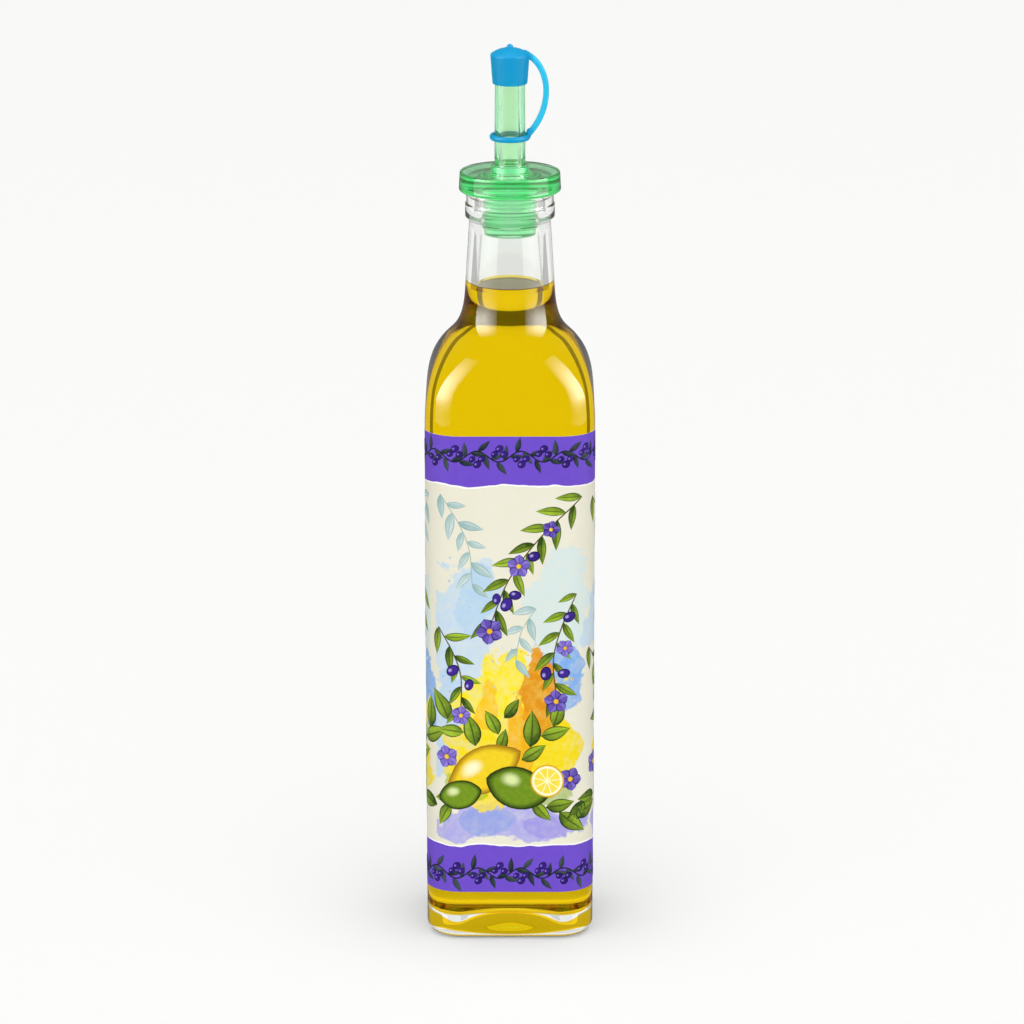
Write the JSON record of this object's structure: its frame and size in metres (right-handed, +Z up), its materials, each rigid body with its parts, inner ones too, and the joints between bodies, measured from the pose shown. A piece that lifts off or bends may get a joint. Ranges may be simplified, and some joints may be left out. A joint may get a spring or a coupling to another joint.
{
  "type": "glass pourer bottle",
  "caption": "Square clear glass bottle of golden oil with a printed wrap, shut by a green pouring stopper whose spout wears a tethered blue cap.",
  "frame": {"origin": "centre of the base, on the surface the bottle stands on", "axes": "+Z up along the neck and spout; the flat sides face along X and Y, and the cap's strap bows out towards +X"},
  "size_m": [0.0584, 0.0584, 0.309],
  "materials": {
    "clear_glass": "clear, fire polished",
    "golden_oil": "clear golden liquid",
    "printed_film": "satin print, cream between two violet bands",
    "green_plastic": "clear tinted, moulded gloss",
    "blue_plastic": "soft moulded, satin gloss"
  },
  "bodies": {
    "root": {"bottle": "clear_glass", "oil": "golden_oil", "print_wrap": "printed_film", "pourer": "green_plastic", "cap": "blue_plastic"}
  },
  "joints": []
}
